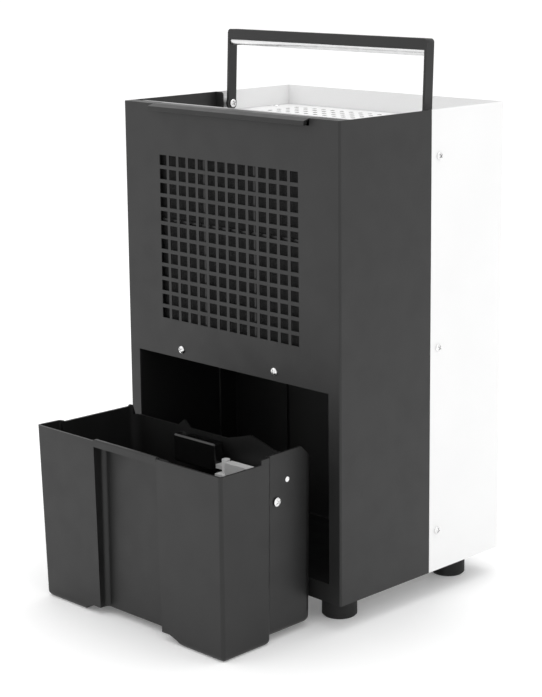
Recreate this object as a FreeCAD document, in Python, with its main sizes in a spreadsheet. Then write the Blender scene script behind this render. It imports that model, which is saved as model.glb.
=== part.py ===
import FreeCAD, Part
import math
import os
import re
import Sketcher

# A compact metal dehumidifier: black rear casing with the air intake and the tank bay, white front
# casing, perforated top outlet, folding carry handle, lift-out filter and a water tank that stands on
# the floor in front of its bay. Millimetres, +Z up, rear (intake and tank) side towards -Y, and the
# origin on the floor at the middle of the footprint of machine and tank together.

SIZES = {
    # casing
    "width": 300.0, "depth": 236.0, "tall": 460.0, "sheet": 1.2, "seam": 126.8, "seam_gap": 0.4,
    "corner": 2.2, "slack": 0.4, "base_rim": 12.0, "return_wide": 10.6, "return_round": 3.0,
    # feet
    "foot_tall": 26.5, "foot_radius": 17.3, "foot_inset": 36.5, "foot_bolt": 3.0,
    # intake grille in the rear panel
    "vent_hole": 10.4, "vent_pitch": 14.13, "vent_columns": 14, "vent_rows": 12, "vent_base": 243.5,
    # tank bay
    "bay_side": 15.2, "bay_sill": 18.5, "bay_top": 204.8, "bay_deep": 139.0, "bay_wall": 2.0,
    # deck above the bay
    "deck_level": 209.0, "deck_lip": 12.0, "screw_level": 214.0, "screw_left": 69.0, "screw_right": 63.5,
    "screw_radius": 2.0, "screw_head": 3.9, "screw_play": 0.3,
    # perforated top outlet
    "top_sink": 21.0, "top_start": 26.0, "top_hole": 2.7, "top_pitch": 13.4, "top_columns": 18,
    "top_rows": 5, "row_back": 24.3,
    # side fixings
    "side_screw_y": 138.0, "side_low": 41.8, "side_mid": 227.4, "side_sink": 44.7,
    # filter
    "filter_half": 105.5, "filter_base": 234.0, "filter_sink": 6.6, "filter_front": 3.0,
    "filter_thick": 5.0, "filter_border": 5.5, "lip_half": 108.8, "lip_shift": 2.75, "lip_tall": 6.6,
    "lip_proud": 7.0, "lip_slope": 2.2, "lip_back": 12.0, "fit": 0.35,
    # coils
    "coil_side": 34.0, "coil_base": 242.0, "coil_pitch": 24.0, "coil_passes": 8, "tube_radius": 3.5,
    "fin_count": 26, "fin_thick": 0.8, "fin_deep": 28.0, "evaporator_y": 30.0, "condenser_y": 64.0,
    # fan
    "fan_radius": 80.0, "fan_level": 330.0, "fan_y": 104.0, "hub_radius": 24.0, "shaft_radius": 3.0,
    "motor_radius": 38.0, "motor_start": 122.0, "motor_long": 38.0, "shroud_y": 88.0, "blade_count": 5,
    "running": 0.05,
    # compressor corner
    "pump_x": 60.0, "pump_back": 48.0, "pump_radius": 42.0, "pump_base": 14.0, "pump_top": 178.0,
    "flask_side": 36.0, "flask_back": 24.0, "flask_radius": 14.0, "flask_base": 60.0, "flask_top": 150.0,
    # handle
    "pivot_y": 136.0, "pivot_sink": 12.0, "handle_inset": 12.5, "handle_deep": 11.0, "leg_thick": 3.0,
    "handle_rise": 78.0, "bar_tall": 10.5, "bar_wall": 1.0, "grip_radius": 4.4, "grip_drop": 12.3,
    "handle_lean": 2.4, "pivot_radius": 2.95, "eye_radius": 6.4,
    # controls on the front face
    "panel_half": 56.0, "panel_low": 345.0, "panel_high": 401.0, "panel_thick": 3.0, "knob_x": 24.0,
    "knob_radius": 17.0, "knob_long": 13.0, "switch_x": 26.0, "rocker_tilt": 8.0,
    # mains inlet
    "gland_back": 36.0, "gland_z": 45.0, "gland_radius": 8.0, "gland_bore": 3.8,
    # tank
    "tank_gap": 6.5, "tank_wide": 261.0, "tank_deep": 126.0, "tank_tall": 177.3, "tank_yaw": 1.1,
    "tank_shift": 5.6, "tank_wall": 2.2, "tank_step": 3.5, "step_left": 30.0, "step_right": 65.0,
    "rear_raise": 6.0, "tank_draft": 1.1, "edge_round": 3.4, "base_round": 5.5, "rear_round": 11.0,
    "flap_rise": 5.5, "flap_start": -11.0, "flap_peak": 45.0, "far_drop": 12.5, "scoop_half": 44.5, "scoop_deep": 13.0, "scoop_top": 171.5,
    "channel_rise": 8.0, "channel_half": 55.0, "tooth_x": -50.0, "crest_x": 44.0, "crest_half": 32.0,
    "crest_tall": 9.0, "lip_bar": 4.6,
    # float
    "float_x": -15.0, "float_y": 47.0, "float_z": 135.0, "float_wide": 59.0, "float_deep": 14.0,
    "float_tall": 28.5, "float_round": 2.6, "arm_left": 50.0, "arm_axis_y": 25.5, "arm_axis_z": 155.5,
    "stop_y": 12.5, "stop_z": 136.5, "pin_radius": 2.5,
}

# levels and places held from an overall size
HELD = {
    "top_level": "(tall - top_sink)", "side_high": "(tall - side_sink)", "filter_top": "(tall - filter_sink)",
    "pivot_z": "(tall - pivot_sink)", "top_row_front": "(depth - row_back)", "pump_y": "(depth - pump_back)",
    "flask_y": "(depth - flask_back)", "flask_x": "(width / 2 - flask_side)", "gland_y": "(depth - gland_back)",
    "coil_half": "(width / 2 - coil_side)",
}

doc = FreeCAD.newDocument("dehumidifier")
sheet = doc.addObject("Spreadsheet::Sheet", "Dims")
for row, (alias, number) in enumerate(SIZES.items(), 1):
    sheet.set("A%d" % row, alias)
    sheet.set("B%d" % row, str(number))
    sheet.setAlias("B%d" % row, alias)
doc.recompute()

V = FreeCAD.Vector
TURN = {"X": FreeCAD.Rotation(V(0, 1, 0), 90), "Y": FreeCAD.Rotation(V(1, 0, 0), -90), "Z": FreeCAD.Rotation()}
REAR = "((tank_gap + tank_deep) - (depth + panel_thick + knob_long)) / 2"  # y of the rear panel's face
NODES = []


# ---------------------------------------------------------------- helpers

def ref(text):
    """Give each size in an expression its sheet name."""
    held = re.sub(r"[a-z]\w*", lambda m: HELD.get(m.group(0), m.group(0)), text)
    return re.sub(r"[a-z]\w*", lambda m: "Dims." + m.group(0) if m.group(0) in SIZES else m.group(0), held)


def number(text):
    """The present value of an expression of sizes."""
    return float(sheet.evalExpression(ref(text)))


def bind(thing, prop, text):
    thing.setExpression(prop, ref(text))


def place(thing, x="0", y="0", z="0"):
    for axis, text in zip("xyz", (x, y, z)):
        bind(thing, "Placement.Base." + axis, text)
    return thing


def machine(thing, x="0", y="0", z="0"):
    """Place a piece by distances from the rear panel's foot: y inwards, z up from the casing's underside."""
    return place(thing, x, "%s + %s" % (REAR, y), "foot_tall + %s" % z)


def keep(thing, label):
    """Name a finished sub-part and list it for export."""
    thing.Label = label
    NODES.append(thing)
    return thing


def box(x0, x1, y0, y1, z0, z1, spot=machine):
    thing = doc.addObject("Part::Box", "Block")
    bind(thing, "Length", "(%s) - (%s)" % (x1, x0))
    bind(thing, "Width", "(%s) - (%s)" % (y1, y0))
    bind(thing, "Height", "(%s) - (%s)" % (z1, z0))
    return spot(thing, "(%s)" % x0, "(%s)" % y0, "(%s)" % z0)


def rod(radius, length, x, y, z, axis="Z", spot=machine):
    """A cylinder from (x, y, z) along a positive axis."""
    thing = doc.addObject("Part::Cylinder", "Rod")
    bind(thing, "Radius", radius)
    bind(thing, "Height", length)
    thing.Placement = FreeCAD.Placement(V(), TURN[axis])
    return spot(thing, "(%s)" % x, "(%s)" % y, "(%s)" % z)


def fuse(pieces):
    thing = doc.addObject("Part::MultiFuse", "Joined")
    thing.Shapes = pieces
    thing.Refine = True
    return thing


def cut(base, tools):
    thing = doc.addObject("Part::Cut", "Trimmed")
    thing.Base = base
    thing.Tool = tools[0] if len(tools) == 1 else fuse(tools)
    thing.Refine = True
    return thing


def group(pieces):
    """Separate solids kept in one node, such as a set of screws."""
    thing = doc.addObject("Part::Compound", "Set")
    thing.Links = pieces
    return thing


def body(label):
    thing = doc.addObject("PartDesign::Body", "Body")
    return keep(thing, label)


def sketch(owner, role, lift="0"):
    plane = next(f for f in owner.Origin.OriginFeatures if f.Role == role)
    drawn = owner.newObject("Sketcher::SketchObject", "Sketch")
    drawn.AttachmentSupport = (plane, [""])
    drawn.MapMode = "FlatFace"
    bind(drawn, "AttachmentOffset.Base.z", lift)
    return drawn


def outline(drawn, corners):
    """A closed polygon whose corners are each held from the sketch's origin."""
    first = drawn.GeometryCount
    rough = [V(number(x), number(y), 0) for x, y in corners]
    for i, start in enumerate(rough):
        drawn.addGeometry(Part.LineSegment(start, rough[(i + 1) % len(rough)]), False)
    for i, corner in enumerate(corners):
        following = first + (i + 1) % len(corners)
        drawn.addConstraint(Sketcher.Constraint("Coincident", first + i, 2, following, 1))
        for kind, text in zip(("DistanceX", "DistanceY"), corner):
            held = drawn.addConstraint(Sketcher.Constraint(kind, -1, 1, first + i, 1, number(text)))
            bind(drawn, "Constraints[%d]" % held, text)
    return drawn


def rectangle(drawn, x0, y0, x1, y1):
    return outline(drawn, [(x0, y0), (x1, y0), (x1, y1), (x0, y1)])


def circle(drawn, x, y, radius):
    ring = drawn.addGeometry(Part.Circle(V(number(x), number(y), 0), V(0, 0, 1), number(radius)), False)
    for kind, text in zip(("DistanceX", "DistanceY"), (x, y)):
        held = drawn.addConstraint(Sketcher.Constraint(kind, -1, 1, ring, 3, number(text)))
        bind(drawn, "Constraints[%d]" % held, text)
    held = drawn.addConstraint(Sketcher.Constraint("Radius", ring, number(radius)))
    bind(drawn, "Constraints[%d]" % held, radius)
    return drawn


def pad(owner, drawn, length):
    feature = owner.newObject("PartDesign::Pad", "Pad")
    feature.Profile = drawn
    bind(feature, "Length", length)
    return feature


def through(owner, drawn, both_ways=True):
    """A pocket through everything, both ways or only against the sketch's normal."""
    feature = owner.newObject("PartDesign::Pocket", "Opening")
    feature.Profile = drawn
    feature.Type = "ThroughAll"
    feature.Midplane = both_ways
    return feature


def revolve(owner, drawn):
    feature = owner.newObject("PartDesign::Revolution", "Turned")
    feature.Profile = drawn
    feature.ReferenceAxis = (drawn, ["V_Axis"])
    feature.Angle = 360
    return feature


def grid(owner, drawn, hole, pitch, columns, rows):
    """Repeat a hole along both axes of its sketch."""
    repeated = owner.newObject("PartDesign::MultiTransform", "Grid")
    repeated.Originals = [hole]
    lines = []
    for axis, count in (("H_Axis", columns), ("V_Axis", rows)):
        line = owner.newObject("PartDesign::LinearPattern", "Line")
        line.Direction = (drawn, [axis])
        bind(line, "Length", "%s * (%s - 1)" % (pitch, count))
        bind(line, "Occurrences", count)
        lines.append(line)
    repeated.Transformations = lines
    owner.Tip = repeated
    return repeated


def round_edges(owner, base, radius, wanted):
    """Fillet the edges of a feature whose middle and direction satisfy a test."""
    doc.recompute()
    names = []
    for i, edge in enumerate(base.Shape.Edges, 1):
        if len(edge.Vertexes) == 2:
            a, b = (v.Point for v in edge.Vertexes)
            if wanted((a + b) * 0.5, b - a):
                names.append("Edge%d" % i)
    feature = owner.newObject("PartDesign::Fillet", "Round")
    feature.Base = (base, names)
    bind(feature, "Radius", radius)
    return feature


def pipe(radius, points, bend):
    """A tube along straight runs joined by arcs of one bend radius, as a solid of its outer size."""
    corners = [V(*p) for p in points]
    edges, start = [], corners[0]
    for before, here, after in zip(corners, corners[1:], corners[2:]):
        inwards, outwards = (before - here).normalize(), (after - here).normalize()
        half = inwards.getAngle(outwards) / 2
        reach = bend / math.tan(half)
        middle = (inwards + outwards).normalize() * (bend / math.sin(half) - bend)
        enter, leave = here + inwards * reach, here + outwards * reach
        if (enter - start).Length > 1e-6:
            edges.append(Part.LineSegment(start, enter).toShape())
        edges.append(Part.Arc(enter, here + middle, leave).toShape())
        start = leave
    edges.append(Part.LineSegment(start, corners[-1]).toShape())
    ring = Part.Wire(Part.Circle(corners[0], corners[1] - corners[0], radius).toShape())
    thing = doc.addObject("Part::Feature", "Pipe")
    thing.Shape = Part.Wire(edges).makePipeShell([ring], True, True)
    return machine(thing)


def screw(x, y, z, axis, towards, head, head_tall, shank, length):
    """A pan-head screw with its seat at (x, y, z); its head stands towards +axis or -axis."""
    index = "XYZ".index(axis)
    head_spot, shank_spot = [x, y, z], [x, y, z]
    if towards > 0:
        shank_spot[index] = "%s - (%s)" % (shank_spot[index], length)
    else:
        head_spot[index] = "%s - (%s)" % (head_spot[index], head_tall)
    return fuse([rod(head, head_tall, *head_spot, axis), rod(shank, length, *shank_spot, axis)])


# ---------------------------------------------------------------- casings

def rear_casing():
    """Black U of sheet steel: rear panel and the rear half of both sides."""
    part = machine(body("rear_casing"))
    flat = outline(sketch(part, "XY_Plane"), [
        ("-width / 2", "0"), ("width / 2", "0"), ("width / 2", "seam"), ("width / 2 - sheet", "seam"),
        ("width / 2 - sheet", "sheet"), ("sheet - width / 2", "sheet"), ("sheet - width / 2", "seam"),
        ("-width / 2", "seam")])
    walls = pad(part, flat, "tall")
    half, high = number("width / 2"), number("tall")
    round_edges(part, walls, "corner",
                lambda mid, run: abs(abs(mid.x) - half) < 0.1 and mid.y < 0.1 and abs(run.z) > 9)
    for side in ("-1", "1"):
        flange = sketch(part, "XY_Plane", "tall - sheet")
        rectangle(flange, side + " * (width / 2 - sheet)", "sheet / 2",
                  side + " * (lip_half + fit) + lip_shift", "lip_back + sheet")
        pad(part, flange, "sheet")
    # the sides turn inwards at the seam, from the base plate's rim to the top
    turned = sketch(part, "XY_Plane", "base_rim + slack")
    for side in ("-1", "1"):
        rectangle(turned, side + " * (width / 2 - sheet / 2)", "seam - sheet",
                  side + " * (width / 2 - sheet - return_wide)", "seam")
    returns = pad(part, turned, "tall - base_rim - slack")
    inner = number("width / 2 - sheet - return_wide")
    round_edges(part, returns, "return_round",
                lambda mid, run: abs(abs(mid.x) - inner) < 0.1 and abs(mid.z - high) < 0.1 and abs(run.y) > 1)
    openings = sketch(part, "XZ_Plane")
    rectangle(openings, "bay_side - width / 2", "bay_sill", "width / 2 - bay_side", "bay_top")
    rectangle(openings, "lip_shift - lip_half - fit", "filter_top - fit", "lip_shift + lip_half + fit",
              "tall + 5")
    circle(openings, "-screw_left", "screw_level", "screw_radius + screw_play")
    circle(openings, "screw_right", "screw_level", "screw_radius + screw_play")
    through(part, openings)
    first = sketch(part, "XZ_Plane")
    left = "-(vent_pitch * (vent_columns - 1) + vent_hole) / 2"
    rectangle(first, left, "vent_base", left + " + vent_hole", "vent_base + vent_hole")
    grid(part, first, through(part, first), "vent_pitch", "vent_columns", "vent_rows")


def front_casing():
    """White U of sheet steel: front panel and the front half of both sides."""
    part = machine(body("front_casing"))
    edge = "seam + seam_gap"
    flat = outline(sketch(part, "XY_Plane"), [
        ("-width / 2", edge), ("sheet - width / 2", edge), ("sheet - width / 2", "depth - sheet"),
        ("width / 2 - sheet", "depth - sheet"), ("width / 2 - sheet", edge), ("width / 2", edge),
        ("width / 2", "depth"), ("-width / 2", "depth")])
    walls = pad(part, flat, "tall")
    half, deep = number("width / 2"), number("depth")
    round_edges(part, walls, "corner", lambda mid, run: abs(abs(mid.x) - half) < 0.1
                and abs(mid.y - deep) < 0.1 and abs(run.z) > 9)
    sides = sketch(part, "YZ_Plane")
    for level in ("side_low", "side_mid", "side_high"):
        circle(sides, "side_screw_y", level, "screw_radius + screw_play")
    through(part, sides)
    inlet = circle(sketch(part, "YZ_Plane"), "gland_y", "gland_z", "gland_radius + running")
    through(part, inlet, both_ways=False)
    window = sketch(part, "XZ_Plane")
    rectangle(window, "8 - panel_half", "panel_low + 8", "panel_half - 8", "panel_high - 3")
    opening = through(part, window)
    part.Tip = opening


def base_plate():
    outer = box("slack + sheet - width / 2", "width / 2 - sheet - slack", "sheet + slack",
                "depth - sheet - slack", "0", "base_rim")
    inner = box("slack + 2.5 * sheet - width / 2", "width / 2 - 2.5 * sheet - slack", "2.5 * sheet + slack",
                "depth - 2.5 * sheet - slack", "1.5", "base_rim + 1")
    holes = [rod("foot_bolt + running", "3", x, y, "-1") for x, y in foot_spots()]
    keep(cut(outer, [inner] + holes), "base_plate")


def foot_spots():
    return [("%s * (width / 2 - foot_inset)" % sx, y) for sx in ("-1", "1")
            for y in ("foot_inset", "depth - foot_inset")]


def feet():
    names = ("foot_rear_left", "foot_front_left", "foot_rear_right", "foot_front_right")
    for name, (x, y) in zip(names, foot_spots()):
        part = machine(body(name), x, y, "-foot_tall")
        profile = outline(sketch(part, "XZ_Plane"), [
            ("foot_bolt + running", "13"), ("9", "13"), ("9", "0"), ("foot_radius - 1.6", "0"),
            ("foot_radius", "1.6"), ("foot_radius", "foot_tall - 1"), ("foot_radius - 1", "foot_tall"),
            ("foot_bolt + running", "foot_tall")])
        revolve(part, profile)
    bolts = [screw(x, y, "13 - foot_tall", "Z", -1, "6", "4", "foot_bolt", "foot_tall - 13 + 8")
             for x, y in foot_spots()]
    keep(group(bolts), "foot_screws")


def side_rails():
    """Angles on the rear casing's returns, behind the seam, that the side screws thread into."""
    rails = []
    for sign in ("-1", "1"):
        x = sorted((sign + " * (width / 2 - sheet - slack)", sign + " * (width / 2 - 2.5 * sheet)"), key=number)
        web = sorted((sign + " * (width / 2 - sheet - slack)",
                      sign + " * (width / 2 - sheet - return_wide)"), key=number)
        strip = box(x[0], x[1], "seam", "side_screw_y + 8", "base_rim + slack", "side_high + 14")
        angle = box(web[0], web[1], "seam", "seam + sheet", "base_rim + slack", "side_high + 14")
        holes = [rod("screw_radius", "6", x[0] + " - 2", "side_screw_y", level, "X")
                 for level in ("side_low", "side_mid", "side_high")]
        rails.append(cut(fuse([strip, angle]), holes + seam_slots()))
    keep(group(rails), "side_rails")
    screws = [screw(x, "side_screw_y", level, "X", towards, "screw_head", "2.6", "screw_radius", "9")
              for x, towards in (("width / 2", 1), ("-width / 2", -1))
              for level in ("side_low", "side_mid", "side_high")]
    keep(group(screws), "side_screws")


def seam_slots():
    """Room where the deck crosses the returns and the rails' webs, on both sides."""
    inner, outer = "(width / 2 - sheet - return_wide - slack)", "(width / 2 - 2.5 * sheet)"
    return [box(x0, x1, "seam - sheet - slack", "seam + sheet + slack", "deck_level - slack",
                "deck_level + sheet + slack") for x0, x1 in (("-" + outer, "-" + inner), (inner, outer))]


def top_panel():
    """White perforated outlet panel, sunk below the rim."""
    part = machine(body("top_panel"))
    side = "width / 2 - sheet - slack"
    plate = sketch(part, "XY_Plane", "top_level - sheet")
    rectangle(plate, "-(%s)" % side, "top_start", side, "depth - sheet - slack")
    pad(part, plate, "sheet")
    skirt = sketch(part, "XY_Plane", "top_level - 10")
    rectangle(skirt, "-(%s)" % side, "depth - 2 * sheet - slack", side, "depth - sheet - slack")
    pad(part, skirt, "10 - sheet / 2")
    fixing = sketch(part, "XY_Plane")
    for x, y in panel_screw_spots():
        circle(fixing, x, y, "screw_radius")
    for side in ("-1", "1"):
        rectangle(fixing, side + " * (width / 2)", "seam - sheet - slack",
                  side + " * (width / 2 - sheet - return_wide - slack)", "seam + slack")
    through(part, fixing)
    first = sketch(part, "XY_Plane")
    circle(first, "-top_pitch * (top_columns - 1) / 2", "top_row_front - top_pitch * (top_rows - 1)", "top_hole")
    grid(part, first, through(part, first), "top_pitch", "top_columns", "top_rows")


def panel_screw_spots():
    return [("%s * (width / 2 - 9.5)" % sx, y) for sx in ("-1", "1") for y in ("60", "207")]


def top_panel_fixings():
    brackets = []
    for x, y in panel_screw_spots():
        sign = "-1" if x.startswith("-1") else "1"
        inner, outer = sorted((sign + " * (width / 2 - 16)", sign + " * (width / 2 - sheet - slack)"), key=number)
        tab = box(inner, outer, y + " - 8", y + " + 8", "top_level - 3 - sheet", "top_level - sheet")
        brackets.append(cut(tab, [rod("screw_radius", "9", x, y, "top_level - 9")]))
    keep(group(brackets), "panel_brackets")
    screws = [screw(x, y, "top_level", "Z", 1, "3.5", "1.8", "screw_radius", "9")
              for x, y in panel_screw_spots()]
    keep(group(screws), "top_panel_screws")


# ---------------------------------------------------------------- bay, deck and drip tray

DRIP_X, DRIP_Y = "40", "60"


def bay_liner():
    """Moulded black lining of the tank bay, open to the rear."""
    half = "(width / 2 - bay_side)"
    outer = box("-bay_wall - " + half, half + " + bay_wall", "sheet", "bay_deep + bay_wall",
                "bay_sill - bay_wall", "bay_top + bay_wall")
    inner = box("-" + half, half, "0", "bay_deep", "bay_sill", "bay_top")
    drip = rod("7", "9", DRIP_X, DRIP_Y, "bay_top - 3")
    hollow = cut(outer, [inner, drip])
    shoulder = box("-" + half, "78 - " + half, "bay_deep - 3", "bay_deep + 1", "bay_sill", "bay_top")
    rib = box("-1 - " + half, "2 - " + half, "111", "118", "bay_sill", "bay_top")
    ledge = box("-4", half, "bay_deep - 7", "bay_deep + 1", "bay_top - 22", "bay_top")
    keep(fuse([hollow, shoulder, rib, ledge]), "bay_liner")
    case = box("96", "116", "104", "113", "bay_top - 14", "bay_top")
    lever = box("100", "112", "98", "105", "bay_top - 12", "bay_top - 11")
    keep(fuse([case, lever]), "tank_switch")


def deck_and_tray():
    side = "width / 2 - 2.5 * sheet - slack"
    floor = box("-(%s)" % side, side, "sheet + slack", "depth - sheet - slack", "deck_level", "deck_level + 1.2")
    lip = box("-(%s)" % side, side, "sheet + slack", "sheet + slack + 1.2", "deck_level", "deck_level + deck_lip")
    spout = rod("9", "6", DRIP_X, DRIP_Y, "deck_level - 2")
    pipes = box("pump_x - 10", "flask_x + 8", "pump_y - 10", "flask_y + 8", "deck_level - 2", "deck_level + 4")
    rear = [rod("screw_radius", "6", x, "0", "screw_level", "Y") for x in ("-screw_left", "screw_right")]
    keep(cut(fuse([floor, lip]), [spout, pipes] + rear + seam_slots()), "deck_plate")
    heads = [screw(x, "0", "screw_level", "Y", -1, "screw_head", "2.4", "screw_radius", "6")
             for x in ("-screw_left", "screw_right")]
    keep(group(heads), "rear_screws")
    tray = box("-124", "124", "14", "86", "deck_level + 1.2", "deck_level + 19")
    spout = rod("6", "9", DRIP_X, DRIP_Y, "bay_top - 3")
    hollow = box("-122", "122", "16", "84", "deck_level + 3.2", "deck_level + 20")
    bore = rod("4", "20", DRIP_X, DRIP_Y, "bay_top - 8")
    keep(cut(fuse([tray, spout]), [hollow, bore]), "drip_tray")


# ---------------------------------------------------------------- coils

def coil(name, centre):
    """Finned coil: a serpentine tube of straight passes and the thin fins pressed along it."""
    half, base, pitch = number("coil_half"), number("coil_base"), number("coil_pitch")
    passes, y = int(number("coil_passes")), number(centre)
    levels = [base + i * pitch for i in range(passes)]
    reach = half + 8 - pitch / 2
    edges = []
    for i, level in enumerate(levels):
        sign = 1 if i % 2 == 0 else -1
        start = V(half + 10 if i == 0 else sign * reach, y, level)
        end = V(half + 10 if i == passes - 1 else -sign * reach, y, level)
        edges.append(Part.LineSegment(start, end).toShape())
        if i < passes - 1:
            peak = V(-sign * (reach + pitch / 2), y, level + pitch / 2)
            edges.append(Part.Arc(end, peak, V(end.x, y, level + pitch)).toShape())
    first = edges[0].Vertexes[0].Point
    ring = Part.Wire(Part.Circle(first, V(1, 0, 0), number("tube_radius")).toShape())
    tube = doc.addObject("Part::Feature", "Tube")
    tube.Shape = Part.Wire(edges).makePipeShell([ring], True, True)
    keep(machine(tube), name + "_tube")
    deep, thick, count = number("fin_deep"), number("fin_thick"), int(number("fin_count"))
    low, high = base - pitch * 0.6, levels[-1] + pitch * 0.6
    rim = Part.makePolygon([V(0, y - deep / 2, low), V(0, y + deep / 2, low), V(0, y + deep / 2, high),
                            V(0, y - deep / 2, high), V(0, y - deep / 2, low)])
    holes = [Part.Wire(Part.Circle(V(0, y, level), V(1, 0, 0), number("tube_radius + running")).toShape())
             for level in levels]
    fin = Part.Face([rim] + holes, "Part::FaceMakerBullseye").extrude(V(thick, 0, 0))
    spread = 2 * (reach - 8)
    fins = [fin.translated(V(-spread / 2 + spread * i / (count - 1) - thick / 2, 0, 0)) for i in range(count)]
    stack = doc.addObject("Part::Feature", "Fins")
    stack.Shape = Part.makeCompound(fins)
    keep(machine(stack), name + "_fins")


def coil_end_plates():
    plates = []
    reach = "(coil_half + 8 - coil_pitch / 2 - 3)"
    for centre in ("evaporator_y", "condenser_y"):
        for x0 in ("-" + reach + " - 1.2", reach):
            plate = box(x0, x0 + " + 1.2", centre + " - fin_deep / 2 + 1", centre + " + fin_deep / 2 - 1",
                        "deck_level + 3.2", "coil_base + coil_pitch * (coil_passes - 0.4)")
            holes = [rod("tube_radius + running", "6", x0 + " - 2", centre, "coil_base + %d * coil_pitch" % i, "X")
                     for i in range(int(number("coil_passes")))]
            plates.append(cut(plate, holes))
    keep(group(plates), "coil_end_plates")


# ---------------------------------------------------------------- refrigerant circuit

def compressor():
    part = machine(body("compressor"), "pump_x", "pump_y")
    profile = outline(sketch(part, "XZ_Plane"), [
        ("0", "pump_base"), ("pump_radius - 16", "pump_base"), ("pump_radius - 5", "pump_base + 5"),
        ("pump_radius", "pump_base + 15"), ("pump_radius", "pump_top - 22"),
        ("pump_radius - 5", "pump_top - 10"), ("pump_radius - 16", "pump_top - 3"), ("0", "pump_top")])
    revolve(part, profile)
    plate = rod("pump_radius + 0.6", "2.5", "pump_x", "pump_y", "pump_base - 4")
    spots = [(number("pump_x") + 34 * math.cos(a), number("pump_y") + 34 * math.sin(a))
             for a in (math.radians(d) for d in (90, 210, 330))]
    posts = [rod("pump_radius - 20", "1.5", "pump_x", "pump_y", "pump_base - 1.5")]
    bolts = [("pump_x + %.3f" % (x - number("pump_x")), "pump_y + %.3f" % (y - number("pump_y"))) for x, y in spots]
    holes = [rod("3", "8", x, y, "pump_base - 8") for x, y in bolts]
    keep(cut(fuse([plate] + posts), holes), "compressor_plate")
    mounts = [cut(rod("8", "pump_base - 5.5", x, y, "1.5"), [rod("3", "20", x, y, "0")]) for x, y in bolts]
    keep(group(mounts), "compressor_mounts")
    studs = [screw(x, y, "pump_base - 1.5", "Z", 1, "4.6", "1.3", "3", "pump_base - 3") for x, y in bolts]
    keep(group(studs), "compressor_bolts")


def refrigerant_circuit():
    radius = number("tube_radius - 0.5")
    x, y = number("pump_x"), number("pump_y")
    fx, fy = number("flask_x"), number("flask_y")
    end = number("coil_half + 10")
    low = number("coil_base")
    high = number("coil_base + coil_pitch * (coil_passes - 1)")
    ey, cy = number("evaporator_y"), number("condenser_y")
    lane, over = end + 8, low + 14
    discharge = [(x, y, number("pump_top")), (x, y, low), (lane, y, low), (lane, cy, low), (end, cy, low)]
    keep(pipe(radius, discharge, 7), "discharge_pipe")
    suction = [(end, ey, low), (lane, ey, low), (lane, ey, over), (lane, fy, over), (fx, fy, over),
               (fx, fy, number("flask_top"))]
    keep(pipe(radius, suction, 7), "suction_pipe")
    liquid = pipe(radius, [(end, cy, high), (end + 9, cy, high), (end + 9, cy - 9, high)], 7)
    capillary = pipe(1.2, [(end + 9, ey + 6, high), (end + 9, ey, high), (end, ey, high)], 4)
    keep(group([liquid, capillary]), "liquid_line")
    drier = rod("7", "condenser_y - evaporator_y - 15", "coil_half + 19", "evaporator_y + 6",
                "coil_base + coil_pitch * (coil_passes - 1)", "Y")
    keep(drier, "filter_drier")
    part = machine(body("accumulator"), "flask_x", "flask_y")
    profile = outline(sketch(part, "XZ_Plane"), [
        ("0", "flask_base"), ("flask_radius - 5", "flask_base"), ("flask_radius", "flask_base + 6"),
        ("flask_radius", "flask_top - 6"), ("flask_radius - 5", "flask_top"), ("0", "flask_top")])
    revolve(part, profile)
    away = V(fx - x, fy - y, 0).normalize() * number("pump_radius")
    feed = [(fx, fy, number("flask_base")), (fx, fy, 36), (x + away.x, y + away.y, 36)]
    keep(pipe(radius, feed, 7), "accumulator_pipe")


# ---------------------------------------------------------------- fan

def fan():
    plate = box("-128", "122", "shroud_y", "shroud_y + 1.2", "deck_level + 1.2", "top_level - sheet - 1")
    collar = rod("fan_radius + 4.5", "15", "0", "shroud_y", "fan_level", "Y")
    opening = rod("fan_radius + 3", "20", "0", "shroud_y - 2", "fan_level", "Y")
    keep(cut(fuse([plate, collar]), [opening]), "fan_shroud")
    hub = rod("hub_radius", "20", "0", "fan_y - 10", "fan_level", "Y")
    count = int(number("blade_count"))
    blades = []
    for i in range(count):
        blade = doc.addObject("Part::Box", "Blade")
        bind(blade, "Length", "fan_radius - hub_radius + 6")
        blade.Width = 2
        blade.Height = 34
        pitch = FreeCAD.Rotation(V(1, 0, 0), -58)
        around = FreeCAD.Rotation(V(0, 1, 0), 360.0 / count * i)
        blade.Placement = FreeCAD.Placement(V(), around * pitch)
        offset = around.multVec(V(number("hub_radius - 6"), 0, 0) - pitch.multVec(V(0, 1, 17)))
        blades.append(machine(blade, "%.4f" % offset.x, "fan_y + %.4f" % offset.y, "fan_level + %.4f" % offset.z))
    bore = rod("shaft_radius", "24", "0", "fan_y - 12", "fan_level", "Y")
    keep(cut(fuse([hub] + blades), [bore]), "fan_wheel")
    keep(rod("shaft_radius", "motor_start + 26 - fan_y", "0", "fan_y - 10", "fan_level", "Y"), "fan_shaft")
    case = rod("motor_radius", "motor_long", "0", "motor_start", "fan_level", "Y")
    bearing = rod("shaft_radius + running", "30", "0", "motor_start - 2", "fan_level", "Y")
    keep(cut(case, [bearing]), "fan_motor")
    side = "width / 2 - 2.5 * sheet - slack"
    strap = box("-(%s)" % side, side, "motor_start + motor_long", "motor_start + motor_long + 2",
                "fan_level - 13", "fan_level + 13")
    ends = [box(x0, x1, "motor_start + motor_long - 14", "motor_start + motor_long + 1", "fan_level - 13",
                "fan_level + 13") for x0, x1 in (("-(%s)" % side, "2 - (%s)" % side), (side + " - 2", side))]
    keep(fuse([strap] + ends), "motor_bracket")


# ---------------------------------------------------------------- filter

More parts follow.
